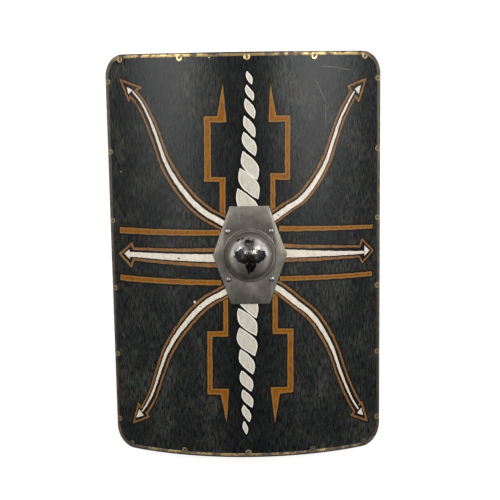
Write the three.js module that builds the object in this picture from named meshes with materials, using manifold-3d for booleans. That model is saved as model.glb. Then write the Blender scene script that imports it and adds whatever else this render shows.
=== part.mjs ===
import * as THREE from 'three';
import { mergeVertices } from 'three/addons/utils/BufferGeometryUtils.js';
import Module from 'manifold-3d';

const wasm = await Module();
wasm.setup();

// Millimetres. The shield lies with its hollow side down and its front up.
// Y runs to its top edge, X to the right as seen from the front.
const shieldHeight = 1050;
const shieldWidth = 756; // round the curve, over the edging
const faceRadius = 630; // of the painted front
const cornerRadius = 58;
const gap = 0.3; // left between pieces that touch

// Layers of the wall
const facingThickness = 1.5;
const boardThickness = 8;
const facingBack = -facingThickness;
const boardFront = facingBack - gap;
const boardBack = boardFront - boardThickness;

// Edging of sheet brass
const brass = 0.8;
const frontLip = 10.5;
const backLip = 6;
const edgeInset = brass + gap; // from the outside of the edging to the rim of the wall
const tabRadius = 7.8;
const tabRise = 0.15; // a tab stands a little proud of the lip
const cornerTabInset = 49.5; // from the side to the tab of a corner piece
const tabShareAcross = 0.4525; // spacing of the end tabs, as a part of half the width
const topTabShift = 14; // the end tabs sit a little to the right, more so at the top
const bottomTabShift = 3;
const endTabInset = 72.5; // from the top or bottom to the last tab of a side
const tabInsetEnds = 13;
const tabInsetSides = 8.6;
const tabShift = 3; // the side tabs sit a little nearer the top

// Nails and rivets
const nailShank = 1;
const nailHead = 2.9;
const nailRise = 1.7;
const roveThickness = 1;
const rivetShank = 2.6;
const rivetHead = 7.4;
const rivetRise = 4.6;
const rivetRove = 6.5;
const rivetX = 55.7;
const rivetY = 62;

// Boss of sheet steel
const steel = 1.6;
const bossShift = 14.5; // round the curve, off the middle of the shield
const bossLift = 13; // along the height, off the middle of the shield
const bossWidth = 190;
const bossHeight = 253;
const bossShortEdge = 99;
const ringRadius = 67;
const ringHalfWidth = 3.4;
const ringRise = 3.4;
const domeRadius = 61;
const domeRise = 60;
const handHoleRadius = 62;

// Grip
const gripLength = 252;
const gripWidth = 32;
const gripBack = -42; // flat back of the bar, below the top of the face
const gripSpan = 70; // half length of the part held
const gripFront = -17;
const gripRound = 5;
const gripStep = 6; // length of the slope where the held part begins
const gripNailX = 106;
const gripNailY = 7;
const gripNailDepth = 5;

const halfHeight = shieldHeight / 2;
const halfWidth = shieldWidth / 2;
const rimHalfHeight = halfHeight - edgeInset;
const rimHalfWidth = halfWidth - edgeInset;
const rimCorner = cornerRadius - edgeInset;
const channelBack = boardBack - gap - brass;
const sideAngle = halfWidth / faceRadius;
const tabPitchAcross = halfWidth * tabShareAcross;
const cornerTabAcross = halfWidth - cornerTabInset;
const tabPitchAlong = (halfHeight - endTabInset) / 2.5;
const restLevel = (faceRadius + channelBack) * Math.cos(sideAngle) - faceRadius;

const brassLook = { color: 0x9a7136, roughness: 0.4, metalness: 0.9 };
const steelLook = { color: 0x8e8f8f, roughness: 0.32, metalness: 1 };
const ironLook = { color: 0x4a443c, roughness: 0.5, metalness: 0.9 };
const woodLook = { color: 0x8a6238, roughness: 0.7, metalness: 0 };
const facingLook = { color: 0x1c1e1f, roughness: 0.6, metalness: 0 };

const shield = new THREE.Group();
shield.name = 'scutum_shield';

function addPiece(name, geometry, look) {
  const mesh = new THREE.Mesh(geometry, new THREE.MeshStandardMaterial(look));
  mesh.name = name;
  shield.add(mesh);
}

// From the flat layout (along the curve, along the height, above the face) to the bent shield.
function bendPoint(point) {
  const angle = point.x / faceRadius;
  const reach = faceRadius + point.z;
  point.set(reach * Math.sin(angle), point.y, reach * Math.cos(angle) - faceRadius - restLevel);
  return point;
}

function mapPoints(geometry, mapping) {
  const position = geometry.getAttribute('position');
  const point = new THREE.Vector3();
  for (let i = 0; i < position.count; i += 1) {
    point.fromBufferAttribute(position, i);
    mapping(point);
    position.setXYZ(i, point.x, point.y, point.z);
  }
  return geometry;
}

function polygon(points) {
  return new THREE.Shape(points.map(([x, y]) => new THREE.Vector2(x, y)));
}

function toSolid(geometry) {
  const bare = geometry.clone();
  bare.deleteAttribute('normal');
  bare.deleteAttribute('uv');
  const welded = mergeVertices(bare, 1e-3);
  const index = welded.getIndex().array;
  const corners = [];
  for (let i = 0; i < index.length; i += 3) {
    const [a, b, c] = [index[i], index[i + 1], index[i + 2]];
    if (a !== b && b !== c && c !== a) corners.push(a, b, c);
  }
  const mesh = new wasm.Mesh({
    numProp: 3,
    vertProperties: new Float32Array(welded.getAttribute('position').array),
    triVerts: new Uint32Array(corners),
  });
  return new wasm.Manifold(mesh);
}

function toGeometry(solid) {
  const mesh = solid.getMesh();
  const geometry = new THREE.BufferGeometry();
  geometry.setAttribute('position', new THREE.BufferAttribute(mesh.vertProperties, 3));
  geometry.setIndex(new THREE.BufferAttribute(mesh.triVerts, 1));
  return geometry;
}

// Puts a shape made round the Z axis onto the face, standing square to it.
function standOnFace(geometry, s, y) {
  const angle = s / faceRadius;
  geometry.translate(0, 0, faceRadius);
  geometry.rotateY(angle);
  geometry.translate(0, y, -faceRadius - restLevel);
  return geometry;
}

function turned(profile, segments) {
  const points = profile.map(([r, z]) => new THREE.Vector2(r, z));
  return new THREE.LatheGeometry(points, segments).rotateX(Math.PI / 2);
}

function pin(radius, low, high, segments, s, y) {
  const profile = [[0, low], [radius, low], [radius, high], [0, high]];
  return toSolid(standOnFace(turned(profile, segments), s, y));
}

// Moves what is built round the middle of the face to the place of the boss
function toBossPlace(geometry) {
  geometry.translate(0, 0, faceRadius + restLevel);
  geometry.rotateY(bossShift / faceRadius);
  geometry.translate(0, bossLift, -faceRadius - restLevel);
  return geometry;
}

// Where along the curve the bent sheets are divided, closer together in the corners
function divisions() {
  const flat = rimHalfWidth - rimCorner;
  const list = [];
  const cornerSteps = 5;
  const middleSteps = 24;
  for (let i = 0; i < cornerSteps; i += 1) {
    list.push(-flat - rimCorner * Math.cos((i / cornerSteps) * Math.PI / 2));
  }
  for (let i = 0; i <= middleSteps; i += 1) {
    list.push(-flat + (2 * flat * i) / middleSteps);
  }
  for (let i = cornerSteps - 1; i >= 0; i -= 1) {
    list.push(flat + rimCorner * Math.cos((i / cornerSteps) * Math.PI / 2));
  }
  return list;
}

function bentSheet(low, high) {
  const stations = divisions();
  const steps = stations.length - 1;
  const section = polygon([[-1, low], [1, low], [1, high], [-1, high]]);
  const sheet = new THREE.ExtrudeGeometry(section, { depth: 1, steps, bevelEnabled: false });
  const flat = rimHalfWidth - rimCorner;
  return mapPoints(sheet, (point) => {
    const s = stations[Math.round(point.z * steps)];
    const past = Math.max(0, Math.abs(s) - flat);
    const drop = rimCorner - Math.sqrt(Math.max(0, rimCorner ** 2 - past ** 2));
    point.set(s, point.x * (rimHalfHeight - drop), point.y);
    bendPoint(point);
  });
}

// Tabs as [along the curve, along the height], grouped by the length they belong to
const tabs = { top: [], bottom: [], left: [], right: [] };
for (const side of [-1, 0, 1]) {
  tabs.top.push([side * tabPitchAcross + topTabShift, halfHeight - tabInsetEnds]);
  tabs.bottom.push([side * tabPitchAcross + bottomTabShift, -halfHeight + tabInsetEnds]);
}
for (const row of [-2.5, -1.5, -0.5, 0.5, 1.5, 2.5]) {
  tabs.left.push([-halfWidth + tabInsetSides, row * tabPitchAlong + tabShift]);
  tabs.right.push([halfWidth - tabInsetSides, row * tabPitchAlong + tabShift]);
}
for (const [upName, up] of [['top', 1], ['bottom', -1]]) {
  for (const [sideName, side] of [['left', -1], ['right', 1]]) {
    tabs[`${upName}_${sideName}`] = [[side * cornerTabAcross, up * (halfHeight - tabInsetEnds)]];
  }
}
const allTabs = Object.values(tabs).flat();

// The channel is drawn once and swept along a path of [s, y, inward s, inward y]
const channelSection = polygon([
  [0, channelBack],
  [0, gap + brass],
  [frontLip, gap + brass],
  [frontLip, gap],
  [brass, gap],
  [brass, boardBack - gap],
  [backLip, boardBack - gap],
  [backLip, channelBack],
]);

function channel(path) {
  const steps = path.length - 1;
  const sweep = new THREE.ExtrudeGeometry(channelSection, { depth: 1, steps, bevelEnabled: false });
  return mapPoints(sweep, (point) => {
    const [s, y, inS, inY] = path[Math.round(point.z * steps)];
    point.set(s + inS * point.x, y + inY * point.x, point.y);
    bendPoint(point);
  });
}

function edging(name, path) {
  let solid = toSolid(channel(path));
  const tabLow = gap + tabRise;
  for (const [s, y] of tabs[name]) {
    solid = solid.add(pin(tabRadius, tabLow, tabLow + brass, 10, s, y));
  }
  for (const [s, y] of tabs[name]) {
    solid = solid.subtract(pin(nailShank + gap, -gap, gap + 2 * brass, 6, s, y));
  }
  addPiece(`edging_${name}`, toGeometry(solid), brassLook);
}

function line(from, to, steps, inward) {
  const path = [];
  for (let i = 0; i <= steps; i += 1) {
    const t = i / steps;
    path.push([from[0] + (to[0] - from[0]) * t, from[1] + (to[1] - from[1]) * t, ...inward]);
  }
  return path;
}

const cornerS = halfWidth - cornerRadius;
const cornerY = halfHeight - cornerRadius;
const endS = cornerS - gap;
const endY = cornerY - gap;
edging('top', line([endS, halfHeight], [-endS, halfHeight], 22, [0, -1]));
edging('bottom', line([-endS, -halfHeight], [endS, -halfHeight], 22, [0, 1]));
edging('left', line([-halfWidth, endY], [-halfWidth, -endY], 1, [1, 0]));
edging('right', line([halfWidth, -endY], [halfWidth, endY], 1, [-1, 0]));

const quarters = [['top_right', 1, 1, 0], ['top_left', -1, 1, 1],
  ['bottom_left', -1, -1, 2], ['bottom_right', 1, -1, 3]];
for (const [name, side, up, turn] of quarters) {
  const path = [];
  const arcSteps = 8;
  for (let i = 0; i <= arcSteps; i += 1) {
    const angle = (turn + i / arcSteps) * Math.PI / 2;
    const [c, n] = [Math.cos(angle), Math.sin(angle)];
    path.push([side * cornerS + cornerRadius * c, up * cornerY + cornerRadius * n, -c, -n]);
  }
  edging(name, path);
}

// Nails: a domed head on the tab and a rove on the wood
const headSeat = gap + tabRise + brass + gap;
const roveSeat = boardBack - gap;
const nailProfile = [
  [0, roveSeat - roveThickness],
  [nailHead - 0.6, roveSeat - roveThickness],
  [nailHead - 0.6, roveSeat],
  [nailShank, roveSeat],
  [nailShank, headSeat],
  [nailHead, headSeat],
  [nailHead * 0.72, headSeat + nailRise * 0.72],
  [0, headSeat + nailRise],
];
allTabs.forEach(([s, y], i) => {
  const nail = standOnFace(turned(nailProfile, 6), s, y);
  addPiece(`nail_${i + 1}`, toGeometry(toSolid(nail)), ironLook);
});

// Rivets of the boss
const rivetPlaces = [[-rivetX, rivetY], [rivetX, rivetY], [-rivetX, -rivetY], [rivetX, -rivetY]];
const rivetSeat = steel + 2 * gap;
const rivetProfile = [
  [0, roveSeat - 2 * roveThickness],
  [rivetRove, roveSeat - 2 * roveThickness],
  [rivetRove, roveSeat],
  [rivetShank, roveSeat],
  [rivetShank, rivetSeat],
  [rivetHead, rivetSeat],
  [rivetHead * 0.93, rivetSeat + rivetRise * 0.4],
  [rivetHead * 0.7, rivetSeat + rivetRise * 0.76],
  [rivetHead * 0.36, rivetSeat + rivetRise * 0.95],
  [0, rivetSeat + rivetRise],
];
rivetPlaces.forEach(([s, y], i) => {
  const rivet = toBossPlace(standOnFace(turned(rivetProfile, 14), s, y));
  addPiece(`rivet_${i + 1}`, toGeometry(toSolid(rivet)), ironLook);
});

// A bar of the shape between two heights over the face, bent like it, full height of the boss
function bentBand(low, high, halfSpan, halfLength, steps) {
  const section = polygon([
    [-halfLength, low], [halfLength, low], [halfLength, high], [-halfLength, high],
  ]);
  const band = new THREE.ExtrudeGeometry(section, { depth: 1, steps, bevelEnabled: false });
  return toSolid(mapPoints(band, (point) => {
    point.set((point.z * 2 - 1) * halfSpan, point.x, point.y);
    bendPoint(point);
  }));
}

// Boss: the flange is the hexagon cut from a bent sheet, the ring and dome are turned
const hexagon = polygon([
  [-bossShortEdge / 2, bossHeight / 2], [-bossWidth / 2, 0], [-bossShortEdge / 2, -bossHeight / 2],
  [bossShortEdge / 2, -bossHeight / 2], [bossWidth / 2, 0], [bossShortEdge / 2, bossHeight / 2],
]);
const hexagonDepth = 60;
const hexagonBar = new THREE.ExtrudeGeometry(hexagon, { depth: hexagonDepth, bevelEnabled: false });
hexagonBar.translate(0, 0, -restLevel - hexagonDepth / 2);
const flange = bentBand(gap, gap + steel, bossWidth / 2 + 5, bossHeight / 2 + 5, 12)
  .intersect(toSolid(hexagonBar));

function domeProfile(inset) {
  const profile = [];
  const steps = 7;
  for (let i = 0; i <= steps; i += 1) {
    const angle = (i / steps) * Math.PI / 2;
    const reach = domeRadius - inset;
    profile.push([reach * Math.cos(angle), (domeRise - inset) * Math.sin(angle)]);
  }
  profile[steps][0] = 0;
  return profile;
}

const domeFoot = gap + steel / 2;
const ringProfile = [
  [ringRadius + ringHalfWidth, domeFoot],
  [ringRadius + ringHalfWidth * 0.7, gap + steel + ringRise * 0.7],
  [ringRadius, gap + steel + ringRise],
  [ringRadius - ringHalfWidth * 0.7, gap + steel + ringRise * 0.7],
  [ringRadius - ringHalfWidth, domeFoot + steel / 2],
];
const domeOuter = domeProfile(0).map(([r, z]) => [r, z + gap + steel]);
const domeInner = domeProfile(steel).map(([r, z]) => [r, z + gap + steel]).reverse();
const bowl = [
  ...domeInner,
  [domeRadius - steel, domeFoot],
  ...ringProfile,
  ...domeOuter,
];

function drape(geometry) {
  return mapPoints(geometry, (point) => {
    point.z += Math.sqrt(faceRadius ** 2 - point.x ** 2) - faceRadius - restLevel;
  });
}

let boss = flange.subtract(pin(domeRadius - steel, -domeRise, domeRise, 32, 0, 0));
boss = boss.add(toSolid(drape(turned(bowl, 32))));
for (const [s, y] of rivetPlaces) {
  boss = boss.subtract(pin(rivetShank + gap, -gap, 2 * steel, 8, s, y));
}
addPiece('boss', toBossPlace(toGeometry(boss)), steelLook);

// Wall of the shield with its hand hole and the holes for rivets and nails
const holesThrough = [
  pin(handHoleRadius, boardBack - 5, 5, 32, bossShift, bossLift),
  ...rivetPlaces.map(([s, y]) => pin(rivetShank + gap, boardBack - 2, 2, 8, s + bossShift, y + bossLift)),
  ...allTabs.map(([s, y]) => pin(nailShank + gap, boardBack - 2, 2, 6, s, y)),
];

const gripNails = [];
for (const side of [-1, 1]) {
  for (const up of [-1, 1]) {
    gripNails.push([bossShift + side * gripNailX, bossLift + up * gripNailY]);
  }
}

// Grip nails stand upright, their heads sunk into the flat back of the bar, their points in the board
const gripNailBack = gripBack + gap;
const gripNailSeat = gripNailBack + nailRise;

function gripPin(profile, x, y) {
  return toSolid(turned(profile, 6).translate(x, y, -restLevel));
}

function gripNailTop(x) {
  return Math.sqrt(faceRadius ** 2 - x ** 2) - faceRadius + boardBack + gripNailDepth;
}

function gripHole(x, y) {
  const sinkRadius = nailHead + 2 * gap;
  const radius = nailShank + 2 * gap;
  const shoulder = gripNailSeat + gap;
  const top = gripNailTop(x) + gap;
  return gripPin([
    [0, gripBack - 5], [sinkRadius, gripBack - 5], [sinkRadius, shoulder],
    [radius, shoulder], [radius, top], [0, top],
  ], x, y);
}

let facing = toSolid(bentSheet(facingBack, 0));
let board = toSolid(bentSheet(boardBack, boardFront));
for (const hole of holesThrough) {
  facing = facing.subtract(hole);
  board = board.subtract(hole);
}

// Grip: ends fitted to the hollow of the board, middle set back for the hand, back flat
const gripHalf = gripLength / 2;
const contact = faceRadius + boardBack - gap;
const endSteps = 4;
const gripEnd = (side) => {
  const points = [];
  for (let i = 0; i <= endSteps; i += 1) {
    const x = bossShift + side * (gripHalf - ((gripHalf - gripSpan) * i) / endSteps);
    points.push([x, Math.sqrt(contact ** 2 - x ** 2) - faceRadius]);
  }
  return points;
};
const gripOutline = [
  [bossShift - gripHalf, gripBack],
  [bossShift + gripHalf, gripBack],
  ...gripEnd(1),
  [bossShift + gripSpan - gripStep, gripFront],
  [bossShift - gripSpan + gripStep, gripFront],
  ...gripEnd(-1).reverse(),
];
const gripBar = new THREE.ExtrudeGeometry(polygon(gripOutline), {
  depth: gripWidth - 2 * gripRound,
  bevelThickness: gripRound,
  bevelSize: gripRound,
  bevelOffset: -gripRound,
  bevelSegments: 2,
});
gripBar.translate(0, 0, -gripWidth / 2 + gripRound);
gripBar.rotateX(Math.PI / 2);
gripBar.translate(0, bossLift, -restLevel);
let grip = toSolid(gripBar);
gripNails.forEach(([x, y], i) => {
  grip = grip.subtract(gripHole(x, y));
  board = board.subtract(gripHole(x, y));
  const top = gripNailTop(x);
  const nail = gripPin([
    [0, gripNailBack], [nailHead, gripNailBack], [nailHead, gripNailSeat],
    [nailShank, gripNailSeat], [nailShank, top - 1.5], [0, top],
  ], x, y);
  addPiece(`grip_nail_${i + 1}`, toGeometry(nail), ironLook);
});

addPiece('facing', toGeometry(facing), facingLook);
addPiece('board', toGeometry(board), woodLook);
addPiece('grip', toGeometry(grip), woodLook);

export default shield;
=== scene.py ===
import math
import bmesh
import bpy
from functools import reduce
from mathutils import Matrix, Vector


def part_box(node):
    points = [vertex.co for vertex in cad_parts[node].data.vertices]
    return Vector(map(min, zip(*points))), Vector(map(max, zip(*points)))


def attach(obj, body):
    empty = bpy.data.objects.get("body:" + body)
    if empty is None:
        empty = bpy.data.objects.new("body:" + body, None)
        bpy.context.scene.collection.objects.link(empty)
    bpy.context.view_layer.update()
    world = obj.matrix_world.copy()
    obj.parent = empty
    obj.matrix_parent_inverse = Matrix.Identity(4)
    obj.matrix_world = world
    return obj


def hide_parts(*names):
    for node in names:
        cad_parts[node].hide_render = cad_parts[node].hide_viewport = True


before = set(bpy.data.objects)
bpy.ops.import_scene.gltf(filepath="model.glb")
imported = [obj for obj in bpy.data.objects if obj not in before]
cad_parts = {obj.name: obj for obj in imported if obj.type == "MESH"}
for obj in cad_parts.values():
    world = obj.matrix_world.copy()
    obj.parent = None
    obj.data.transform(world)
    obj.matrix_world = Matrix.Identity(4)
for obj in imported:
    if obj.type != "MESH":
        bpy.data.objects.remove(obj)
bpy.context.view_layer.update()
print("frame loaded")

# sizes in metres, as in the solids; s is a place round the curve and y one along the height
shield = {
    "radius": 0.630,
    "width": 0.756,
    "height": 1.050,
    "corner": 0.058,
    "lift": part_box("facing")[1][2],
    "rimInset": 0.0011,
    "facingLayers": (-0.0015, 0.0),
    "boardLayers": (-0.0098, -0.0018),
    "bossShift": 0.0145,
    "bossLift": 0.013,
    "handHole": 0.062,
}


# working helpers
def settle(name):
    piece = bpy.context.object
    piece.name = name
    piece.data.name = name
    bpy.ops.object.transform_apply(location=True, rotation=True, scale=True)
    return piece


def fresh():
    if bpy.context.object and bpy.context.object.mode != "OBJECT":
        bpy.ops.object.mode_set(mode="OBJECT")
    bpy.ops.object.select_all(action="DESELECT")


def only(piece):
    fresh()
    piece.select_set(True)
    bpy.context.view_layer.objects.active = piece


def editing(piece):
    only(piece)
    bpy.ops.object.mode_set(mode="EDIT")
    bpy.ops.mesh.select_all(action="DESELECT")


def done():
    bpy.ops.object.mode_set(mode="OBJECT")


def selectAll():
    bpy.ops.mesh.select_all(action="SELECT")


def extrude(*move):
    bpy.ops.mesh.extrude_region_move(TRANSFORM_OT_translate={"value": move})


def choose(piece, kind, test):
    # selects the vertices, edges or faces whose middle passes the test
    shape = bmesh.from_edit_mesh(piece.data)
    for part in (*shape.verts, *shape.edges, *shape.faces):
        part.select_set(False)
    for part in getattr(shape, kind):
        if kind == "verts":
            middle = part.co
        elif kind == "edges":
            middle = (part.verts[0].co + part.verts[1].co) / 2
        else:
            middle = part.calc_center_median()
        if test(middle):
            part.select_set(True)
    shape.select_flush_mode()
    bmesh.update_edit_mesh(piece.data)


def cutAcross(places, normal):
    # extra edges where a sheet will bend
    for place in places:
        selectAll()
        bpy.ops.mesh.bisect(plane_co=[n * place for n in normal], plane_no=normal)


def outward():
    selectAll()
    bpy.ops.mesh.normals_make_consistent(inside=False)


def apply(piece, kind, **settings):
    only(piece)
    modifier = piece.modifiers.new("work", kind)
    for name, value in settings.items():
        setattr(modifier, name, value)
    bpy.ops.object.modifier_apply(modifier=modifier.name)


def soften(piece, width, degrees):
    # rounds the edges that turn by more than the angle
    apply(piece, "BEVEL", width=width, segments=2, limit_method="ANGLE", angle_limit=math.radians(degrees))


def smooth(piece, degrees):
    only(piece)
    bpy.ops.object.shade_smooth_by_angle(angle=math.radians(degrees))


def joined(name, pieces):
    fresh()
    for piece in pieces:
        piece.select_set(True)
    bpy.context.view_layer.objects.active = pieces[0]
    if len(pieces) > 1:
        bpy.ops.object.join()
    return settle(name)


def copied(model, matrix):
    # a copy with its own mesh, its place in the mesh
    copy = model.copy()
    copy.data = model.data.copy()
    copy.data.transform(matrix)
    bpy.context.collection.objects.link(copy)
    return copy


def discard(piece):
    only(piece)
    bpy.ops.object.delete()


def toBend(piece):
    # rolls a piece made flat round the shield's curve, then lifts it to its height above the floor
    piece.data.transform(Matrix.Rotation(-math.pi / 2, 4, "Y"))
    reach = [v.co.z for v in piece.data.vertices]
    angle = (max(reach) - min(reach)) / shield["radius"]
    apply(piece, "SIMPLE_DEFORM", deform_method="BEND", deform_axis="Y", angle=angle)
    piece.data.transform(Matrix.Rotation(math.pi / 2, 4, "Y"))
    piece.data.transform(Matrix.Translation((0, 0, shield["lift"])))


def onFace(s, y):
    # the matrix that stands a small piece on the curved face
    angle = s / shield["radius"]
    toAxis = Matrix.Translation((0, y, shield["lift"] - shield["radius"]))
    return toAxis @ Matrix.Rotation(angle, 4, "Y") @ Matrix.Translation((0, 0, shield["radius"]))


def turnedSolid(name, profile, steps):
    # a profile of (radius, height) from axis to axis, drawn out from one vertex and spun once round
    fresh()
    bpy.ops.mesh.primitive_plane_add(size=0.001)
    solid = settle(name)
    editing(solid)
    selectAll()
    bpy.ops.mesh.merge(type="CENTER")
    here = Vector((profile[0][0], 0, profile[0][1]))
    bpy.ops.transform.translate(value=here)
    for r, z in profile[1:]:
        there = Vector((r, 0, z))
        extrude(*(there - here))
        here = there
    selectAll()
    bpy.ops.mesh.spin(steps=steps, angle=2 * math.pi, center=(0, 0, 0), axis=(0, 0, 1))
    selectAll()
    bpy.ops.mesh.remove_doubles(threshold=1e-6)
    outward()
    done()
    return solid


# wall of the shield
wall = {"cutEvery": 0.012, "cornerSteps": 14, "holeSteps": 96, "cutterDepth": 0.05, "smoothTo": 30}


def cutHole(piece, radius, place=(0, 0, 0)):
    # a round hole straight through
    fresh()
    bpy.ops.mesh.primitive_cylinder_add(vertices=wall["holeSteps"], radius=radius, depth=wall["cutterDepth"],
                                        location=place)
    cutter = settle("cutter")
    apply(piece, "BOOLEAN", operation="DIFFERENCE", object=cutter, solver="EXACT")
    discard(cutter)


def curvedSheet(name, layers, node):
    low, high = layers
    width = shield["width"] - 2 * shield["rimInset"]
    height = shield["height"] - 2 * shield["rimInset"]
    fresh()
    bpy.ops.mesh.primitive_plane_add(size=1, location=(0, 0, high))
    bpy.context.object.scale = (width, height, 1)
    sheet = settle(name)
    editing(sheet)
    selectAll()
    corner = shield["corner"] - shield["rimInset"]
    bpy.ops.mesh.bevel(offset=corner, segments=wall["cornerSteps"], affect="VERTICES")
    selectAll()
    extrude(0, 0, low - high)
    outward()
    done()
    cutHole(sheet, shield["handHole"], (shield["bossShift"], shield["bossLift"], 0))
    editing(sheet)
    count = round(width / wall["cutEvery"])
    cutAcross([width * (i / count - 0.5) for i in range(1, count)], (1, 0, 0))
    done()
    toBend(sheet)
    smooth(sheet, wall["smoothTo"])
    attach(sheet, "root")
    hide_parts(node)
    return sheet


facing = curvedSheet("painted_facing", shield["facingLayers"], "facing")
board = curvedSheet("plywood_board", shield["boardLayers"], "board")
print("wall made")


# brass edging, drawn flat and then bent
edge = {
    "metal": 0.0008,
    "gap": 0.0003,
    "frontLip": 0.0105,
    "backLip": 0.006,
    "softening": 0.0005,
    "seam": 0.0003,
    "cornerSteps": 14,
    "stepsAcross": 40,
    "smoothTo": 35,
    # shape of the tabs: rim and dish are (width, rise)
    "tabRadius": 0.0078,
    "tabRise": 0.00015,
    "tabRim": (0.0009, 0.0003),
    "tabFlat": 0.0014,
    "tabDish": (0.0012, -0.0005),
    "tabSteps": 32,
    "tabSmoothTo": 50,
    # places of the tabs: in from the edges, then along them
    "tabEnds": 0.013,
    "tabSides": 0.0086,
    "cornerTab": 0.0495,
    "endTab": 0.0725,
    "shareAcross": 0.4525,
    "topShift": 0.014,
    "bottomShift": 0.003,
    "sideShift": 0.003,
}
halfWidth = shield["width"] / 2
halfHeight = shield["height"] / 2
tabAcross = halfWidth * edge["shareAcross"]
tabAlong = (halfHeight - edge["endTab"]) / 2.5
tabPlaces = {"top": [], "bottom": [], "left": [], "right": []}
for side in (-1, 0, 1):
    tabPlaces["top"].append((side * tabAcross + edge["topShift"], halfHeight - edge["tabEnds"]))
    tabPlaces["bottom"].append((side * tabAcross + edge["bottomShift"], edge["tabEnds"] - halfHeight))
for row in (-2.5, -1.5, -0.5, 0.5, 1.5, 2.5):
    tabPlaces["left"].append((edge["tabSides"] - halfWidth, row * tabAlong + edge["sideShift"]))
    tabPlaces["right"].append((halfWidth - edge["tabSides"], row * tabAlong + edge["sideShift"]))
for upName, up in (("top", 1), ("bottom", -1)):
    for sideName, side in (("left", -1), ("right", 1)):
        place = (side * (halfWidth - edge["cornerTab"]), up * (halfHeight - edge["tabEnds"]))
        tabPlaces[upName + "_" + sideName] = [place]


def tabModel():
    # a round tab with a soft rim and a shallow dish for the nail
    thick = edge["metal"]
    fresh()
    bpy.ops.mesh.primitive_cylinder_add(vertices=edge["tabSteps"], radius=edge["tabRadius"], depth=thick)
    tab = settle("tab")
    editing(tab)
    choose(tab, "faces", lambda middle: middle.z > thick * 0.4)
    bpy.ops.mesh.inset(thickness=edge["tabRim"][0])
    bpy.ops.transform.translate(value=(0, 0, edge["tabRim"][1]))
    bpy.ops.mesh.inset(thickness=edge["tabFlat"])
    bpy.ops.mesh.inset(thickness=edge["tabDish"][0])
    bpy.ops.transform.translate(value=(0, 0, edge["tabDish"][1]))
    done()
    smooth(tab, edge["tabSmoothTo"])
    return tab


def channelPiece(name, length, arc):
    # the channel stands on the local Y axis, its open side towards +X
    metal = edge["metal"]
    back = shield["boardLayers"][0] - edge["gap"] - metal
    top = edge["gap"] + metal
    fresh()
    bpy.ops.mesh.primitive_plane_add(size=1, rotation=(math.pi / 2, 0, 0),
                                     location=(metal / 2, 0, (top + back) / 2))
    bpy.context.object.scale = (metal, top - back, 1)
    piece = settle(name)
    editing(piece)
    cutAcross([edge["gap"], back + metal], (0, 0, 1))
    choose(piece, "edges", lambda middle: middle.x > metal * 0.9 and middle.z > edge["gap"])
    extrude(edge["frontLip"] - metal, 0, 0)
    choose(piece, "edges", lambda middle: metal * 0.9 < middle.x < metal * 1.1 and middle.z < back + metal)
    extrude(edge["backLip"] - metal, 0, 0)
    selectAll()
    if arc:
        # a quarter turn round the corner, then a face over each open end
        bpy.ops.mesh.spin(steps=edge["cornerSteps"], angle=-math.pi / 2, center=(shield["corner"], 0, 0),
                          axis=(0, 0, 1))
        bpy.ops.mesh.select_all(action="DESELECT")
        bpy.ops.mesh.select_non_manifold()
        bpy.ops.mesh.edge_face_add()
    else:
        extrude(0, length, 0)
    outward()
    done()
    return piece


def edging(name, length, arc, turn, start, cuts):
    piece = channelPiece("edging_" + name + "_brass", length, arc)
    piece.data.transform(Matrix.Translation((*start, 0)) @ Matrix.Rotation(math.radians(turn), 4, "Z"))
    editing(piece)
    cutAcross(cuts, (1, 0, 0))
    done()
    soften(piece, edge["softening"], 40)
    rise = edge["gap"] + edge["tabRise"] + edge["metal"] / 2
    tabs = [copied(tabPattern, Matrix.Translation((s, y, rise))) for s, y in tabPlaces[name]]
    piece = joined("edging_" + name + "_brass", [piece, *tabs])
    toBend(piece)
    smooth(piece, edge["smoothTo"])
    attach(piece, "root")
    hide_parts("edging_" + name)
    return piece


tabPattern = tabModel()
straightUp = shield["height"] - 2 * (shield["corner"] + edge["seam"])
straightOver = shield["width"] - 2 * (shield["corner"] + edge["seam"])
edgeS = halfWidth - shield["corner"]
edgeY = halfHeight - shield["corner"]
steps = edge["stepsAcross"]
overCuts = [straightOver * (i / steps - 0.5) for i in range(1, steps)]
brassPieces = [
    edging("left", straightUp, False, 0, (-halfWidth, -straightUp / 2), []),
    edging("right", straightUp, False, 180, (halfWidth, straightUp / 2), []),
    edging("top", straightOver, False, -90, (-straightOver / 2, halfHeight), overCuts),
    edging("bottom", straightOver, False, 90, (straightOver / 2, -halfHeight), overCuts),
    edging("bottom_left", 0, True, 0, (-halfWidth, -edgeY), []),
    edging("bottom_right", 0, True, 90, (edgeS, -halfHeight), []),
    edging("top_right", 0, True, 180, (halfWidth, edgeY), []),
    edging("top_left", 0, True, 270, (-edgeS, halfHeight), []),
]
discard(tabPattern)
print("edging made")


# nails of the edging
nail = {
    "shank": 0.001,
    "head": 0.0029,
    "rise": 0.0017,
    "brim": 0,
    "rove": 0.0023,
    "roveThick": 0.001,
    "roveFlat": 0.8,
    "roveShoulder": 1,
    "headSteps": 6,
    "turnSteps": 18,
    "smoothTo": 40,
}


def closedProfile(sizes, seat):
    # section of a nail or rivet, from its rove at the back of the wall up to its head on the seat
    wallBack = shield["boardLayers"][0] - edge["gap"]
    under = wallBack - sizes["roveThick"]
    profile = [(0, under), (sizes["rove"] * sizes["roveFlat"], under),
               (sizes["rove"] * sizes["roveShoulder"], wallBack - sizes["roveThick"] * 0.6),
               (sizes["rove"], wallBack), (sizes["shank"], wallBack),
               (sizes["shank"], seat), (sizes["head"], seat)]
    low = seat + sizes["brim"]
    if sizes["brim"]:
        profile.append((sizes["head"], low))
    count = sizes["headSteps"]
    for i in range(1, count + 1):
        angle = i / count * math.pi / 2
        across = sizes["head"] * math.cos(angle) if i < count else 0
        profile.append((across, low + (sizes["rise"] - sizes["brim"]) * math.sin(angle)))
    return profile


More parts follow.
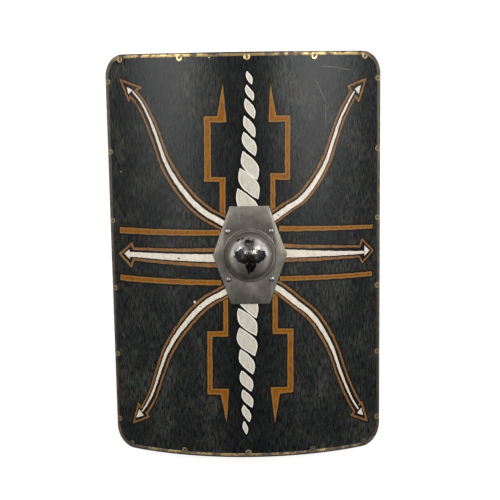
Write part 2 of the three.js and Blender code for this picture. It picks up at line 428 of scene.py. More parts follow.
nailSeat = 2 * edge["gap"] + edge["tabRise"] + edge["metal"]
nailPattern = turnedSolid("nail", closedProfile(nail, nailSeat), nail["turnSteps"])
allPlaces = [place for name in tabPlaces for place in tabPlaces[name]]
nails = joined("edging_nails", [copied(nailPattern, onFace(s, y)) for s, y in allPlaces])
discard(nailPattern)
smooth(nails, nail["smoothTo"])
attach(nails, "root")
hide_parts(*["nail_%d" % i for i in range(1, 23)])
print("nails made")


# boss: flange, ring and dome of one sheet
boss = {
    "steel": 0.0016,
    "width": 0.190,
    "height": 0.253,
    "shortEdge": 0.099,
    "ring": 0.067,
    "ringHalf": 0.0021,
    "ringRise": 0.0020,
    "ringLap": 0.00005,
    "foot": (0.003, 0.0002),  # how far it goes out into the flange and down in it
    "dome": 0.061,
    "domeRise": 0.060,
    "gap": 0.0003,
    "holeInset": 0.001,
    "softening": 0.0004,
    "cutEvery": 0.008,
    "domeSteps": 24,
    "ringSteps": 8,
    "turnSteps": 128,
    "smoothTo": 40,
}


def drape(piece):
    # sinks a piece made on a flat face to the curve of the shield, then takes it to the boss's place
    for v in piece.data.vertices:
        v.co.z += math.sqrt(shield["radius"] ** 2 - v.co.x ** 2) - shield["radius"]
    turn = Matrix.Rotation(shield["bossShift"] / shield["radius"], 4, "Y")
    toAxis = Matrix.Translation((0, shield["bossLift"], shield["lift"] - shield["radius"]))
    piece.data.transform(toAxis @ turn @ Matrix.Translation((0, 0, shield["radius"])))


def bossFlange():
    low = boss["gap"]
    fresh()
    bpy.ops.mesh.primitive_circle_add(vertices=6, radius=1, fill_type="NGON", location=(0, 0, low),
                                      rotation=(0, 0, math.radians(30)))
    flange = settle("flange")
    across = max(v.co.x for v in flange.data.vertices)
    up = max(v.co.y for v in flange.data.vertices)
    flange.data.transform(Matrix.Diagonal((boss["width"] / 2 / across, boss["height"] / 2 / up, 1, 1)))
    editing(flange)
    choose(flange, "verts", lambda middle: abs(middle.y) > boss["height"] * 0.4)
    wide = max(abs(v.co.x) for v in bmesh.from_edit_mesh(flange.data).verts if v.select)
    bpy.ops.transform.resize(value=(boss["shortEdge"] / 2 / wide, 1, 1), center_override=(0, 0, low))
    selectAll()
    extrude(0, 0, boss["steel"])
    outward()
    done()
    cutHole(flange, boss["ring"] - boss["holeInset"])
    soften(flange, boss["softening"], 50)
    editing(flange)
    count = math.floor(boss["width"] / 2 / boss["cutEvery"])
    cutAcross([boss["cutEvery"] * i for i in range(-count, count + 1)], (1, 0, 0))
    done()
    return flange


def bossBowl():
    # dome and ring in section: down the inside, out under the ring and up the outside
    low = boss["gap"]
    top = low + boss["steel"]
    beadEnd = boss["ring"] + boss["ringHalf"]
    innerRadius = boss["dome"] - boss["steel"]
    innerRise = boss["domeRise"] - boss["steel"]
    inner = []
    outer = []
    for i in range(boss["domeSteps"] + 1):
        angle = i / boss["domeSteps"] * math.pi / 2
        outer.append((boss["dome"] * math.cos(angle), top + boss["domeRise"] * math.sin(angle)))
        inner.append((innerRadius * math.cos(angle), top + innerRise * math.sin(angle)))
    bead = []
    for i in range(boss["ringSteps"] + 1):
        angle = i / boss["ringSteps"] * math.pi
        rise = boss["ringRise"] * math.sin(angle) ** 1.5
        bead.append((boss["ring"] + boss["ringHalf"] * math.cos(angle), top + boss["ringLap"] + rise))
    profile = [(0, inner[-1][1]), *inner[-2::-1], (innerRadius, low), (beadEnd, low)]
    profile += [(beadEnd + boss["foot"][0], top - boss["foot"][1]), *bead, *outer[:-1], (0, outer[-1][1])]
    return turnedSolid("bowl", profile, boss["turnSteps"])


flange = bossFlange()
bowl = bossBowl()
bossPiece = joined("steel_boss", [flange, bowl])
drape(bossPiece)
smooth(bossPiece, boss["smoothTo"])
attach(bossPiece, "root")
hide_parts("boss")
print("boss made")


# rivets of the boss
rivet = {
    "shank": 0.0026,
    "head": 0.0074,
    "rise": 0.0046,
    "brim": 0.0004,
    "rove": 0.0065,
    "roveThick": 0.002,
    "roveFlat": 0.6,
    "roveShoulder": 0.92,
    "across": 0.0557,
    "up": 0.062,
    "headSteps": 10,
    "turnSteps": 40,
    "smoothTo": 40,
}
rivetSeat = boss["steel"] + 2 * boss["gap"]
rivetPattern = turnedSolid("rivet", closedProfile(rivet, rivetSeat), rivet["turnSteps"])
rivets = []
for across in (-1, 1):
    for up in (-1, 1):
        place = (across * rivet["across"] + shield["bossShift"], up * rivet["up"] + shield["bossLift"])
        rivets.append(copied(rivetPattern, onFace(*place)))
rivets = joined("boss_rivets", rivets)
discard(rivetPattern)
smooth(rivets, rivet["smoothTo"])
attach(rivets, "root")
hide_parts(*["rivet_%d" % i for i in range(1, 5)])
print("rivets made")


# shader maths
class Wire:
    # one socket of a material's nodes; sums on it add Math nodes
    def __init__(self, tree, socket):
        self.tree = tree
        self.socket = socket

    def make(self, kind, settings, values, output=0):
        # any node: its settings first, then the values or links of its sockets
        node = self.tree.nodes.new(kind)
        for name, value in settings.items():
            if name == "points":
                curve = node.mapping.curves[0]
                for i, (x, y) in enumerate(value):
                    point = curve.points[i] if i < 2 else curve.points.new(x, y)
                    point.location = (x, y)
                node.mapping.update()
            else:
                setattr(node, name, value)
        for name, value in values.items():
            socket = node.inputs[name]
            if isinstance(value, Wire):
                self.tree.links.new(value.socket, socket)
            elif isinstance(value, (tuple, list, Vector)) and len(value) == 3 and socket.type == "RGBA":
                socket.default_value = (*value, 1)
            else:
                socket.default_value = value
        return Wire(self.tree, node.outputs[output])

    def maths(self, operation, *others, clamp=False):
        values = dict(enumerate((self, *others)))
        return self.make("ShaderNodeMath", {"operation": operation, "use_clamp": clamp}, values)

    def vector(self, operation, *others, output=0):
        values = dict(enumerate((self, *others)))
        return self.make("ShaderNodeVectorMath", {"operation": operation}, values, output)

    def axes(self):
        # the three numbers of a place
        split = self.make("ShaderNodeSeparateXYZ", {}, {0: self}).socket.node
        return [Wire(self.tree, socket) for socket in split.outputs]

    def onPlan(self, x, y):
        # a flat place from two numbers
        return self.make("ShaderNodeCombineXYZ", {}, {0: x, 1: y})

    def __add__(self, other):
        return self.maths("ADD", other)

    __radd__ = __add__

    def __sub__(self, other):
        return self.maths("SUBTRACT", other)

    def __rsub__(self, other):
        return (self * -1).maths("ADD", other)

    def __mul__(self, other):
        return self.maths("MULTIPLY", other)

    __rmul__ = __mul__

    def __truediv__(self, other):
        return self.maths("DIVIDE", other)

    def __abs__(self):
        return self.maths("ABSOLUTE")

    def least(self, other):
        return self.maths("MINIMUM", other)

    def most(self, other):
        return self.maths("MAXIMUM", other)

    def clip(self):
        return self.maths("MULTIPLY", 1.0, clamp=True)

    def fade(self, low, high):
        # 0 below low, 1 above high, eased between; low may be the larger one
        return self.make("ShaderNodeMapRange", {"interpolation_type": "SMOOTHSTEP"},
                         {"Value": self, "From Min": low, "From Max": high})

    def noise(self, scale, detail=4.0, rough=0.55, stretch=None, warp=0.0, output=0):
        place = self
        if stretch:
            place = self.vector("MULTIPLY", stretch)
        return place.make("ShaderNodeTexNoise", {}, {"Vector": place, "Scale": scale, "Detail": detail,
                                                     "Roughness": rough, "Distortion": warp}, output)

    def mix(self, first, second):
        # self is the share of the second colour
        return self.make("ShaderNodeMix", {"data_type": "RGBA"}, {0: self, 6: first, 7: second}, 2)


def newMaterial(name):
    material = bpy.data.materials.new(name)
    material.use_nodes = True
    tree = material.node_tree
    tree.nodes.clear()
    shader = tree.nodes.new("ShaderNodeBsdfPrincipled")
    output = tree.nodes.new("ShaderNodeOutputMaterial")
    tree.links.new(shader.outputs[0], output.inputs[0])
    coordinates = tree.nodes.new("ShaderNodeTexCoord")
    place = Wire(tree, coordinates.outputs["Object"])
    return material, shader, place


def feed(shader, **inputs):
    for name, value in inputs.items():
        socket = shader.inputs[name.replace("_", " ")]
        if isinstance(value, Wire):
            value.tree.links.new(value.socket, socket)
        elif isinstance(value, tuple) and len(value) == 3:
            socket.default_value = (*value, 1)
        else:
            socket.default_value = value


def bumped(height, strength, distance):
    return height.make("ShaderNodeBump", {}, {"Height": height, "Strength": strength, "Distance": distance})


def wear(piece, material):
    piece.data.materials.clear()
    piece.data.materials.append(material)


# the painted pattern, in millimetres round the curve and along the height
pattern = {
    "orange": [
        # the four brackets, each of straight strokes
        [(-47, 451), (-63, 367), (-62, 351), (-39, 351)],
        [(-97, 367), (-97, 351), (-39, 351), (-40, 367)],
        [(-97, 367), (-79, 367), (-81, 203), (-99, 202)],
        [(-99, 214), (-100, 202), (-44, 202), (-44, 214)],
        [(-60, 214), (-44, 214), (-46, 110), (-61, 110)],
        [(72, 450), (66, 350), (88, 350), (86, 367)],
        [(66, 350), (122, 351), (122, 366), (67, 367)],
        [(108, 366), (122, 366), (120, 204), (106, 204)],
        [(69, 205), (120, 204), (120, 221), (69, 222)],
        [(69, 222), (82, 222), (81, 110), (68, 110)],
        [(-56, -90), (-43, -90), (-45, -200), (-58, -200)],
        [(-45, -200), (-45, -185), (-100, -186), (-100, -201)],
        [(-100, -186), (-86, -186), (-89, -356), (-103, -356)],
        [(-103, -356), (-103, -340), (-45, -339), (-47, -355)],
        [(-68, -355), (-62, -340), (-45, -339), (-53, -435)],
        [(85, -90), (71, -90), (70, -194), (84, -194)],
        [(70, -195), (125, -196), (125, -182), (70, -180)],
        [(109, -182), (125, -182), (124, -353), (107, -353)],
        [(63, -336), (124, -338), (124, -353), (66, -356)],
        [(63, -336), (85, -338), (88, -356), (73, -436)],
        # the four long bars
        [(-347, 78), (-348, 61), (-60, 64), (-60, 79)],
        [(354, 76), (354, 65), (90, 73), (90, 87)],
        [(-350, -50), (-351, -66), (-60, -65), (-60, -51)],
        [(353, -49), (353, -62), (90, -56), (90, -43)],
    ],
    # twisted column: upper end, lower end and half of the width as seen of each leaf
    "leaves": [
        (14, 478, 25, 444, 8.7), (12, 444, 28, 403.5, 11), (9.5, 411, 30, 359, 14),
        (5.5, 368, 30.5, 312, 15.3), (3, 327, 31.5, 265.5, 18.4), (1, 279, 35.5, 205, 22.8),
        (-8, 236.5, 37.5, 156, 27), (-14, 185, 35, 98, 29),
        (-17, -62, 29.5, -152, 27.7), (-17.3, -124, 28, -198, 26.3), (-16, -176, 23.5, -252, 26.8),
        (-13.5, -233, 18, -301, 21), (-12, -289.5, 12.5, -347.5, 17.9), (-9.7, -340.5, 14.5, -391, 15.4),
        (-8.8, -382, 7, -429.5, 12.7), (-7, -426, -2, -463.5, 7.8),
    ],
    # arrows: path from under the boss to the head; then at both ends half the width of the shaft, the
    # distance of each outline and half its width; tip, barbs, ends of the outlines, small white head
    "arrows": [
        {"path": [(-25, 80), (-56, 98), (-119, 139), (-159, 183), (-196, 240), (-220, 301), (-231, 331),
                  (-247, 368), (-263, 398), (-292, 431)],
         "shaft": (8.5, 2.2), "left": (17.5, 14), "right": (19.7, 7.5), "line": (3, 2.4),
         "tip": (-328, 460), "barbs": ((-267, 440), (-304, 407)), "ends": ((-283, 434), (-299, 419)),
         "head": [(-309, 442), (-291, 434), (-305, 424)]},
        {"path": [(50, 90), (82, 111), (116, 134), (154, 159), (192, 206), (217, 250), (238, 306), (261, 364),
                  (297, 423)],
         "shaft": (8.5, 2.2), "left": (17, 8.5), "right": (11.5, 10), "line": (3, 2.4),
         "tip": (331, 453), "barbs": ((279, 436), (310, 398)), "ends": ((288, 424), (300, 411)),
         "head": [(317, 439), (297, 429), (310, 415)]},
        {"path": [(-20, -68), (-55, -85), (-112, -120), (-163, -174), (-204, -233), (-233, -297),
                  (-255, -355), (-272, -389), (-294, -419)],
         "shaft": (8.5, 2.2), "left": (14.5, 13.5), "right": (17, 8), "line": (3, 2.4),
         "tip": (-322, -454), "barbs": ((-304, -399), (-273, -431)), "ends": ((-298, -409), (-280, -421)),
         "head": [(-314, -439), (-302, -414), (-288, -430)]},
        {"path": [(50, -60), (85, -75), (135, -116), (179, -156), (215, -211), (233, -248), (256, -312),
                  (284, -377), (309, -420)],
         "shaft": (8.5, 2.2), "left": (17, 14), "right": (13, 12.5), "line": (3, 2.4),
         "tip": (337, -456), "barbs": ((319, -402), (288, -433)), "ends": ((312, -408), (297, -425)),
         "head": [(325, -439), (319, -417), (305, -431)]},
        {"path": [(-50, 6), (-150, 6), (-250, 7), (-318, 7)],
         "shaft": (11, 6.5), "left": (20, 12.5), "right": (22, 15), "line": (5, 3),
         "tip": (-349, 6), "barbs": ((-309, 36), (-313, -25)), "ends": ((-305, 23), (-306, -6)),
         "head": [(-335, 7), (-317, 20), (-317, -7)]},
        {"path": [(70, 18), (150, 13), (250, 8), (326, 4)],
         "shaft": (12, 3.5), "left": (20.5, 16), "right": (19, 10), "line": (5, 2),
         "tip": (355, 7), "barbs": ((320, 39), (321, -23)), "ends": ((313, 21), (313, -6)),
         "head": [(345, 8), (328, 22), (327, -6)]},
    ],
    # faint strokes on the ground
    "scuffs": [((191, 449), (202, 425)), ((202, 425), (214, 402)), ((214, 390), (216, 338)),
               ((206, 486), (245, 484)), ((245, 484), (286, 477))],
    # round spots with their radius: pale ones, and dark ones in the white and tan strokes
    "chips": [(-132, -110, 3.2), (-336, 224, 1.2), (-80, 512, 1.5)],
    "nicks": [(-172, 3, 2.6), (-183, -173, 3.0), (89, 115, 1.8), (-116, -122, 1.5), (-150, -1, 1.4)],
    "wobble": 3.6,
    "outline": 4.0,
    "leafSwing": 0.14,
    "arrowSwing": 60,
}


def insideOf(point, corners):
    # distance outside a straight-sided shape, negative within
    area = sum(a[0] * b[1] - b[0] * a[1] for a, b in zip(corners, corners[1:] + corners[:1]))
    if area < 0:
        corners = corners[::-1]

    def beyondSide(a, b):
        normal = Vector((b[1] - a[1], a[0] - b[0], 0)).normalized()
        return point.vector("DOT_PRODUCT", normal, output=1) - normal.dot(Vector((*a, 0)))

    return reduce(Wire.most, (beyondSide(a, b) for a, b in zip(corners, corners[1:] + corners[:1])))


def toStroke(point, a, b):
    # distance to a straight stroke
    along = Vector((b[0] - a[0], b[1] - a[1], 0))
    offset = point.vector("SUBTRACT", (*a, 0))
    share = offset.vector("DOT_PRODUCT", along / along.length_squared, output=1).clip()
    nearest = share.make("ShaderNodeVectorMath", {"operation": "SCALE"}, {0: along, "Scale": share})
    return offset.vector("SUBTRACT", nearest).vector("LENGTH", output=1)


def toStrokes(point, strokes):
    # distance to the nearest of some strokes
    return reduce(Wire.least, (toStroke(point, a, b) for a, b in strokes))


def leafShape(point, leaf):
    a = Vector((leaf[0], leaf[1], 0))
    along = Vector((leaf[2], leaf[3], 0)) - a
    across = Vector((-along.y, along.x, 0)).normalized()
    bend = pattern["leafSwing"]
    half = leaf[4]
    for _ in range(12):
        # the leaf's width as seen, brought to the one given
        sides = [(along * u + across * half * (side * 4 * u * (1 - u) - bend * math.sin(2 * math.pi * u))).x
                 for u in [i / 40 for i in range(41)] for side in (-1, 1)]
        half *= 2 * leaf[4] / (max(sides) - min(sides))
    offset = point.vector("SUBTRACT", a)
    u = offset.vector("DOT_PRODUCT", along / along.length_squared, output=1)
    v = offset.vector("DOT_PRODUCT", across, output=1)
    swing = (u * (2 * math.pi)).maths("SINE") * (half * bend)
    return abs(v + swing) - u * (1 - u) * (4 * half)


def arrowShapes(point, arrow):
    # white part, tan outlines and the dark space between them of one arrow
    start = Vector((*arrow["path"][0], 0))
    reach = Vector((*arrow["tip"], 0)) - start
    length = reach.length
    ahead = reach / length
    aside = Vector((-ahead.y, ahead.x, 0))
    swing = pattern["arrowSwing"]
    points = []
    for s, t in arrow["path"]:
        step = Vector((s, t, 0)) - start
        points.append((max(0, step.dot(ahead) / length), 0.5 + step.dot(aside) / (2 * swing)))
    last = points.pop()
    points.insert(1, last)
    offset = point.vector("SUBTRACT", start)
    u = offset.vector("DOT_PRODUCT", ahead / length, output=1)
    v = offset.vector("DOT_PRODUCT", aside, output=1)
    middle = u.make("ShaderNodeFloatCurve", {"points": points}, {"Value": u})
    away = v - (middle - 0.5) * (2 * swing)
    headShare = last[0]

    def taper(pair):
        return u * ((pair[1] - pair[0]) / headShare) + pair[0]

    behind = u * -length
    beyond = ((u - headShare) * length).most(behind)
    white = (abs(away) - taper(arrow["shaft"])).most(beyond)
    white = white.least(insideOf(point, arrow["head"]))
    line = taper(arrow["line"])
    lines = abs(away - taper(arrow["left"])).least(abs(away + taper(arrow["right"])))
    ends = [(Vector((*end, 0)) - start).dot(ahead) / length for end in arrow["ends"]]
    lines = (lines - line).most((u - sum(ends) / 2) * length).most(behind)
    corners = [arrow["ends"][0], arrow["barbs"][0], arrow["tip"], arrow["barbs"][1], arrow["ends"][1]]
    tan = lines.least(toStrokes(point, zip(corners, corners[1:])) - arrow["line"][1])
    inner = (abs(away) - taper(arrow["left"])).most(beyond)
    return white, tan, inner


def toSpots(point, spots):
    # distance outside the nearest of some round spots
    return reduce(Wire.least, (point.vector("SUBTRACT", (s, t, 0)).vector("LENGTH", output=1) - radius
                               for s, t, radius in spots))


# colours of the face, darker and lighter end where there are two
paint = {
    "ground": ((0.0014, 0.0018, 0.0021), (0.0180, 0.0193, 0.0181)),
    "worn": (0.034, 0.034, 0.029),
    # painted shade for the ground either side of the middle column
    "paintedShadeBesideColumn": (0.0012, 0.0016, 0.0019),
    "tint": ((0.9, 0.7, 0.9), (0.55, 0.65, 0.55)),  # share of a colour noise, and what is added to it
    "scuff": (0.080, 0.077, 0.070),
    "flake": (0.075, 0.072, 0.062),
    "outline": ((0.0015, 0.0013, 0.0012), (0.0085, 0.0042, 0.0022)),
    "orange": ((0.100, 0.028, 0.001), (0.205, 0.072, 0.002)),
    "orangeRim": (0.165, 0.090, 0.026),
    "tan": ((0.080, 0.036, 0.012), (0.185, 0.098, 0.038)),
    "white": ((0.37, 0.325, 0.265), (0.55, 0.505, 0.435)),
    "leaf": ((0.265, 0.245, 0.205), (0.430, 0.405, 0.345)),
    "leafRim": (0.53, 0.505, 0.44),
    "chip": (0.45, 0.41, 0.34),
    "creased": (1.0, 0.3, 1.0),  # how the creases in the skin are drawn out
    "bump": (0.35, 0.0007),
    "specular": 0.16,
}


def paintedMaterial():
    material, shader, place = newMaterial("painted leather")
    millimetres = place.vector("MULTIPLY", (1000, 1000, 1000))
    x, y, z = millimetres.axes()
    radius = shield["radius"] * 1000
    s = x.maths("ARCTAN2", z - (shield["lift"] * 1000 - radius)) * radius
    flat = place.onPlan(s, y)
    # the hand-drawn edges wobble a little
    shakeS = (flat.noise(0.05, 2.0, 0.5) - 0.5) * pattern["wobble"] + s
    shakeY = (flat.noise(0.06, 2.0, 0.5, stretch=(-1.0, 1.0, 1.0)) - 0.5) * pattern["wobble"] + y
    point = place.onPlan(shakeS, shakeY)

    orange = reduce(Wire.least, (insideOf(point, corners) for corners in pattern["orange"]))
    leaves = reduce(Wire.least, (leafShape(point, leaf) for leaf in pattern["leaves"]))
    arrows = None
    for arrow in pattern["arrows"]:
        shapes = arrowShapes(point, arrow)
        arrows = [old.least(new) for old, new in zip(arrows, shapes)] if arrows else shapes
    white, tan, inner = arrows

    # dark creased ground: drawn-out streaks, fine grain, broad worn areas
    streaks = flat.noise(0.22, 5.0, 0.65, stretch=(1.0, 0.22, 1.0))
    grain = flat.noise(0.42, 6.0, 0.7)
    clouds = flat.noise(0.012, 5.0, 0.6, stretch=(1.0, 0.6, 1.0), warp=0.6)
    worn = clouds.fade(0.42, 0.72)
    ground = (streaks * 0.5 + grain * 0.5).fade(0.41, 0.63).mix(*paint["ground"])
    ground = (worn * streaks.fade(0.38, 0.62)).mix(ground, paint["worn"])
    # the ground either side of the middle column is darkened: painted shade, where the face catches no sheen
    ground = (abs(s - 3).fade(95, 20) * 0.6).mix(ground, paint["paintedShadeBesideColumn"])
    tint = flat.noise(0.05, 3.0, 0.6, output=1)
    ground = tint.vector("MULTIPLY_ADD", *paint["tint"]).vector("MULTIPLY", ground)

    # scuffs and flakes on it, and the dark outlines round the pattern
    wearNoise = flat.noise(0.30, 6.0, 0.7)
    scuffs = (toStrokes(point, pattern["scuffs"]) + (wearNoise - 0.5) * 4).fade(1.6, 0.4)
    ground = (scuffs * 0.7).mix(ground, paint["scuff"])
    flakes = (flat.noise(0.16, 2.0, 0.5) * 0.6 + wearNoise * 0.4).fade(0.665, 0.69)
    ground = (flakes * 0.7).mix(ground, paint["flake"])
    ragged = (wearNoise - 0.5) * 2.2
    outline = orange.least(tan).fade(5.5, 3).mix(*paint["outline"])
    reach = pattern["outline"]
    darkMask = orange.least(tan).least(white).fade(reach + 1, reach - 0.6).most(inner.fade(1, -1))
    darkMask = darkMask.most(leaves.fade(6.5, 5))
    colour = (darkMask * 0.93).mix(ground, outline)

    brush = flat.noise(0.12, 6.0, 0.7, stretch=(1.0, 0.35, 1.0))
    orangeTone = (brush * 0.6 + wearNoise * 0.4).fade(0.36, 0.64).mix(*paint["orange"])
    orangeTone = orange.fade(-4.4, -2.4).mix(orangeTone, paint["orangeRim"])
    orangeMask = (orange + ragged * 0.35).fade(0.1, -1.1)
    orangeMask = orangeMask * inner.fade(1, 3) * tan.fade(1.5, 3.5) * white.fade(1.5, 3.5)
    colour = orangeMask.mix(colour, orangeTone)

    nicked = (toSpots(point, pattern["nicks"]) + (wearNoise - 0.5) * 5).fade(-0.5, 0.7)
    tanTone = (brush * 0.5 + wearNoise * 0.5).fade(0.36, 0.64).mix(*paint["tan"])
    tanMask = (tan + ragged * 0.4).fade(0.9, -0.5) * white.fade(1.2, 2.6) * nicked
    colour = tanMask.mix(colour, tanTone)

    whiteTone = (brush * 0.5 + wearNoise * 0.5).fade(0.34, 0.66).mix(*paint["white"])
    bothWhite = white.least(leaves)
    leafTone = (brush * 0.4 + grain * 0.6).fade(0.36, 0.64).mix(*paint["leaf"])
    leafTone = leaves.fade(-3.6, -2.0).mix(leafTone, paint["leafRim"])
    whiteTone = (leaves - white).fade(0.2, -0.2).mix(whiteTone, leafTone)
    whiteMask = (bothWhite + ragged * 0.4).fade(0.2, -0.8) * nicked
    colour = whiteMask.mix(colour, whiteTone)
    chips = (toSpots(point, pattern["chips"]) + (wearNoise - 0.5) * 6).fade(0.5, -0.5)
    colour = chips.mix(colour, paint["chip"])

    painted = orangeMask.most(tanMask).most(whiteMask)
    rough = painted.fade(0, 1) * 0.08 + 0.35 + (streaks - 0.5) * 0.2 + (grain - 0.5) * 0.2
    creases = flat.noise(0.28, 2.0, 0.45, stretch=paint["creased"])
    folds = flat.noise(0.09, 2.0, 0.5, stretch=paint["creased"])
    feed(shader, Base_Color=colour, Roughness=rough, Specular_IOR_Level=paint["specular"],
         Normal=bumped(creases + folds * 1.6, *paint["bump"]))
    return material


wear(facing, paintedMaterial())
print("facing painted")


# tones of the edging, its painted highlight and painted shade, and how bright its tabs are painted
brass = {
    "aged": ((0.022, 0.016, 0.011), (0.085, 0.062, 0.039)),
    "golden": (0.200, 0.125, 0.048),
    # partly the colour of worn-through brass, partly a painted highlight
    "bare": (0.49, 0.36, 0.165),
    # painted shade on the rounded outer edge
    "edgeShade": (0.018, 0.013, 0.009),
    "topTabHighlight": 0.8,
    "sideTabs": 0.22,
}


def brassMaterial():
    material, shader, place = newMaterial("worn brass edging")
    x, y, _ = place.axes()
    # the long middle of the top edge is painted bright, partly worn through to the brass and partly a painted
    # highlight, that of the bottom edge less
    middle = abs(x).fade(0.335, 0.29)
    over = y.fade(0.49, 0.515) * middle
    under = y.fade(-0.49, -0.515) * middle
    blotch = place.noise(38, 6.0, 0.65, warp=0.4)
    fine = place.noise(420, 5.0, 0.6)
    bright = (blotch + over * 0.13 + under * 0.05 + (fine - 0.5) * 0.14).fade(0.54, 0.67)
    bright = bright * (over * 0.85 + under * 0.55 + 0.12)
    # the top tabs are painted bright: a painted highlight on them
    topTabHighlight = middle * y.fade(0.495, 0.500) * y.fade(0.5146, 0.5138)
    # the tabs of both sides are painted a little brighter and show up against the painted shade on their lip
    alongSide = ((y - edge["sideShift"]) / tabAlong).maths("FRACT")
    sideTabs = abs(alongSide - 0.5).fade(0.043, 0.034) * abs(x).fade(0.335, 0.341)
    bright = bright.most(topTabHighlight * brass["topTabHighlight"]).most(sideTabs * brass["sideTabs"])
    stain = place.noise(70, 5.0, 0.7)
    tone = stain.fade(0.35, 0.65).mix(*brass["aged"])
    # the outer part of the side lips is darkened: painted shade on the rounded edge
    lipShade = abs(x).fade(0.3522, 0.3504) * abs(y).fade(0.470, 0.462) * (1 - sideTabs) * 0.85
    tone = (stain.fade(0.58, 0.70) * under).mix(tone, brass["golden"])
    tone = bright.mix(tone, brass["bare"])
    # the outer wall and rounded edge of the top and bottom edging are darkened: painted shade
    tone = (abs(y).fade(0.5202, 0.5222) * 0.9).most(lipShade).mix(tone, brass["edgeShade"])
    rough = 0.55 - bright * 0.22 + (fine - 0.5) * 0.15
    height = blotch * 1.2 + fine * 0.35
    feed(shader, Base_Color=tone, Metallic=bright * 0.6 + 0.3, Roughness=rough,
         Normal=bumped(height, 0.4, 0.0006))
    return material


edgeBrass = brassMaterial()
for piece in brassPieces:
    wear(piece, edgeBrass)


steel = {
    # tones, darker and lighter end where there are two
    "plate": ((0.105, 0.096, 0.080), (0.175, 0.161, 0.135)),
    "stained": (0.115, 0.088, 0.062),
    "wiped": (0.25, 0.235, 0.205),
    "scratched": (0.15, 0.14, 0.125),
    # painted shade of the dome, then a painted highlight on its upper side
    "domeShade": (0.085, 0.077, 0.063),
    "upperSheen": (0.42, 0.40, 0.36),
    # painted highlights on the upper flanks of the dome
    "shoulderHighlights": (0.78, 0.76, 0.72),
    "dented": (0.12, 0.10, 0.09),
    "patch": ((0.006, 0.0058, 0.0055), (0.034, 0.032, 0.031)),
    # dark patch on the crown of the dome, partly patina and partly a painted reflection, in millimetres from
    # its middle, in plan
    "body": [(-39, 6), (-27.6, -9), (-13, -12.5), (18, -14.6), (34.6, -5.5), (43.4, 6), (39, 16.5),
             (20.5, 26.6), (-17, 29.2), (-35.5, 18)],
    "stem": [(-13, -10), (-8.5, -25), (-6, -46), (12.4, -28), (19, -12)],
    "top": [(-12, 24), (-12, 44), (-4, 48), (11, 45), (9, 24)],
    "fleck": ((-29.5, 43.4), (-15.5, 49.7)),
    "fleckHalf": 1.6,
    # dents in the plate above the dome
    "dents": [((-47, 96), (21, 86)), ((34, 117), (52, 102))],
}


def steelMaterial():
    material, shader, place = newMaterial("scratched boss steel")
    centre = (shield["bossShift"], shield["bossLift"], shield["lift"])
    local = place.vector("SUBTRACT", centre)
    cloud = local.noise(22, 5.0, 0.6)
    fine = local.noise(500, 4.0, 0.6)
    scratch = local.noise(60, 5.0, 0.7, stretch=(1.0, 14.0, 1.0))
    tone = cloud.fade(0.3, 0.7).mix(*steel["plate"])
    tone = (local.noise(55, 6.0, 0.7).fade(0.56, 0.68) * 0.4).mix(tone, steel["stained"])
    streaks = local.noise(90, 6.0, 0.7, stretch=(1.0, 0.2, 1.0))
    tone = (streaks.fade(0.52, 0.7) * 0.5).mix(tone, steel["wiped"])
    tone = (scratch.fade(0.62, 0.72) * 0.35).mix(tone, steel["scratched"])
    x, y, z = local.axes()
    # the upper side of the dome is painted lighter, a painted highlight, and its foot and its lower side
    # darker, painted shade
    domed = z.fade(0.002, 0.006)
    upperSheen = domed * z.fade(0.006, 0.054) * y.fade(-0.05, 0.022)
    tone = (domed * 0.45).mix(tone, steel["domeShade"])
    tone = (upperSheen * (0.55 + cloud * 0.7)).mix(tone, steel["upperSheen"])
    # painted highlights on the upper flanks of the dome, left and right above its middle
    shoulderHighlights = abs(x).fade(0.012, 0.024) * y.fade(0, 0.012) * z.fade(0.030, 0.044)
    tone = (shoulderHighlights * cloud.fade(0.2, 0.6)).mix(tone, steel["shoulderHighlights"])
    plan = place.onPlan(x * 1000, y * 1000)
    dented = (toStrokes(plan, steel["dents"]) + (fine - 0.5) * 1.6).fade(1.5, 0.6)
    tone = (dented * 0.6).mix(tone, steel["dented"])
    # dark mottled patch on the crown of the dome, drawn to a point below: partly mottled patina, partly a
    # painted reflection of the dark room round the camera
    body = reduce(Wire.least, (insideOf(plan, steel[name]) for name in ("body", "stem", "top")))
    body = body.least(toStroke(plan, *steel["fleck"]) - steel["fleckHalf"])
    jagged = local.noise(110, 6.0, 0.75)
    pitted = local.noise(330, 3.0, 0.7)
    speckled = (y * 1000).fade(10, 17) * (y * 1000).fade(44, 34) * abs(x * 1000 - 3).fade(19, 10)
    speckled = speckled * pitted.fade(0.46, 0.53)
    patch = (body + (jagged - 0.5) * 19 + (pitted - 0.5) * 9).fade(0.6, -0.6) * z.fade(0.02, 0.03)
    patch = patch * (1 - speckled * 0.85)
    patchMottle = local.noise(150, 5.0, 0.7).fade(0.45, 0.7)
    tone = patch.mix(tone, patchMottle.mix(*steel["patch"]))
    rough = 0.44 + (cloud - 0.5) * 0.2 + (fine - 0.5) * 0.1
    rough = rough - upperSheen * 0.15 + patch * 0.12
    height = fine * 0.3 + scratch * 0.5 + jagged * 0.5
    feed(shader, Base_Color=tone, Metallic=0.78 + patch * 0.17, Roughness=rough,
         Normal=bumped(height, 0.22, 0.0004))
    return material


wear(bossPiece, steelMaterial())


# rough and its spread, then the scales of the cloudy tone and of the fine bump
smallMetals = {
    "rivet steel": {"tones": ((0.11, 0.105, 0.095), (0.27, 0.26, 0.24)), "metallic": 0.9,
                    "rough": (0.36, 0.14), "cloud": 120, "fine": 600, "bump": 0.2},
    "dark nail iron": {"tones": ((0.030, 0.022, 0.016), (0.075, 0.055, 0.038)), "metallic": 0.7,
                       "rough": (0.5, 0.15), "cloud": 300, "fine": 900, "bump": 0.3},
}


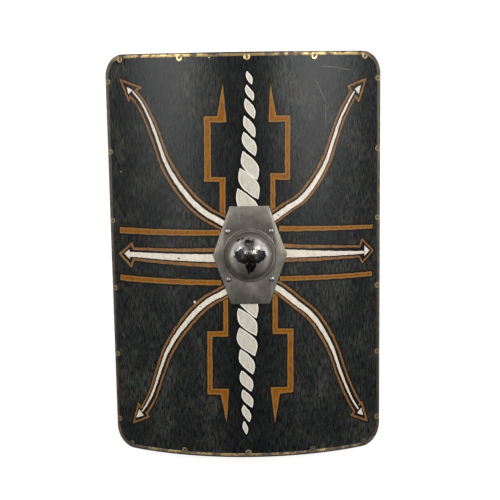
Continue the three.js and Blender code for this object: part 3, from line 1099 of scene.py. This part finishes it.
def metalMaterial(name):
    look = smallMetals[name]
    material, shader, place = newMaterial(name)
    cloud = place.noise(look["cloud"], 4.0, 0.6)
    fine = place.noise(look["fine"], 3.0)
    rough, spread = look["rough"]
    feed(shader, Base_Color=cloud.fade(0.3, 0.7).mix(*look["tones"]), Metallic=look["metallic"],
         Roughness=rough + cloud * spread, Normal=bumped(fine, look["bump"], 0.0003))
    return material


nailIron = metalMaterial("dark nail iron")
wear(rivets, metalMaterial("rivet steel"))
wear(nails, nailIron)


# tones, darker and lighter, then how the grain is drawn out
woods = {
    "plywood back": {"tones": ((0.24, 0.14, 0.065), (0.42, 0.27, 0.14)), "along": (1.0, 0.05, 1.0)},
    "grip wood": {"tones": ((0.13, 0.07, 0.03), (0.27, 0.15, 0.07)), "along": (0.05, 1.0, 1.0)},
}


def woodMaterial(name):
    look = woods[name]
    material, shader, place = newMaterial(name)
    grain = place.noise(160, 6.0, 0.65, stretch=look["along"], warp=0.6)
    broad = place.noise(14, 3.0, 0.5, stretch=look["along"])
    tone = (grain * 0.6 + broad * 0.4).fade(0.35, 0.65).mix(*look["tones"])
    feed(shader, Base_Color=tone, Roughness=0.62 + (grain - 0.5) * 0.2, Normal=bumped(grain, 0.25, 0.0005))
    return material


wear(board, woodMaterial("plywood back"))
# the grip and its nails keep their shape from the solids
gripWood = woodMaterial("grip wood")
for name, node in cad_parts.items():
    if name == "grip":
        wear(node, gripWood)
    elif name.startswith("grip_nail"):
        wear(node, nailIron)
print("materials made")


# floor, lights and camera
studio = {
    "floor": 30.0,
    "floorDrop": 0.0005,
    "floorTone": (0.3, 0.3, 0.3),
    "floorGlow": 0.82,
    "world": 0.09,
    "softboxes": [
        # place, width, height, power
        ((-2.0, 1.0, 2.35), 1.8, 2.0, 108),
        ((1.92, 1.0, 2.4), 1.8, 2.0, 134),
    ],
    "lightsAim": (0, 0, 0.1),
    "cameraPlace": (0.0775, 0.4542, 2.7121),  # its height is above the middle of the face
    "cameraRight": (0.99967, -0.01508, -0.0207),
    "cameraUp": (0.01167, 0.98769, -0.15597),
    "lens": 77.48,
    "sensor": 36,
}
fresh()
bpy.ops.mesh.primitive_plane_add(size=studio["floor"], location=(0, 0, -studio["floorDrop"]))
floor = settle("floor")
floorMaterial, floorShader, _ = newMaterial("pale floor")
feed(floorShader, Base_Color=studio["floorTone"], Roughness=0.9, Specular_IOR_Level=0.0,
     Emission_Color=(1.0, 1.0, 1.0), Emission_Strength=studio["floorGlow"])
floor.data.materials.append(floorMaterial)

world = bpy.data.worlds.new("studio")
bpy.context.scene.world = world
world.use_nodes = True
world.node_tree.nodes["Background"].inputs[0].default_value = (1, 1, 1, 1)
world.node_tree.nodes["Background"].inputs[1].default_value = studio["world"]

for i, (place, width, height, power) in enumerate(studio["softboxes"]):
    light = bpy.data.lights.new("softbox_%d" % i, "AREA")
    light.shape = "RECTANGLE"
    light.size = width
    light.size_y = height
    light.energy = power
    lamp = bpy.data.objects.new("softbox_%d" % i, light)
    lamp.location = place
    aim = Vector(studio["lightsAim"]) - Vector(place)
    lamp.rotation_euler = aim.to_track_quat("-Z", "Y").to_euler()
    bpy.context.collection.objects.link(lamp)

camera = bpy.data.objects.new("camera", bpy.data.cameras.new("camera"))
camera.data.lens = studio["lens"]
camera.data.sensor_width = studio["sensor"]
right = Vector(studio["cameraRight"]).normalized()
upward = Vector(studio["cameraUp"]).normalized()
behind = right.cross(upward).normalized()
camera.matrix_world = Matrix((
    (right.x, upward.x, behind.x, studio["cameraPlace"][0]),
    (right.y, upward.y, behind.y, studio["cameraPlace"][1]),
    (right.z, upward.z, behind.z, studio["cameraPlace"][2] + shield["lift"]),
    (0, 0, 0, 1),
))
bpy.context.collection.objects.link(camera)
bpy.context.scene.camera = camera
bpy.context.scene.view_settings.view_transform = "Standard"
print("studio made")
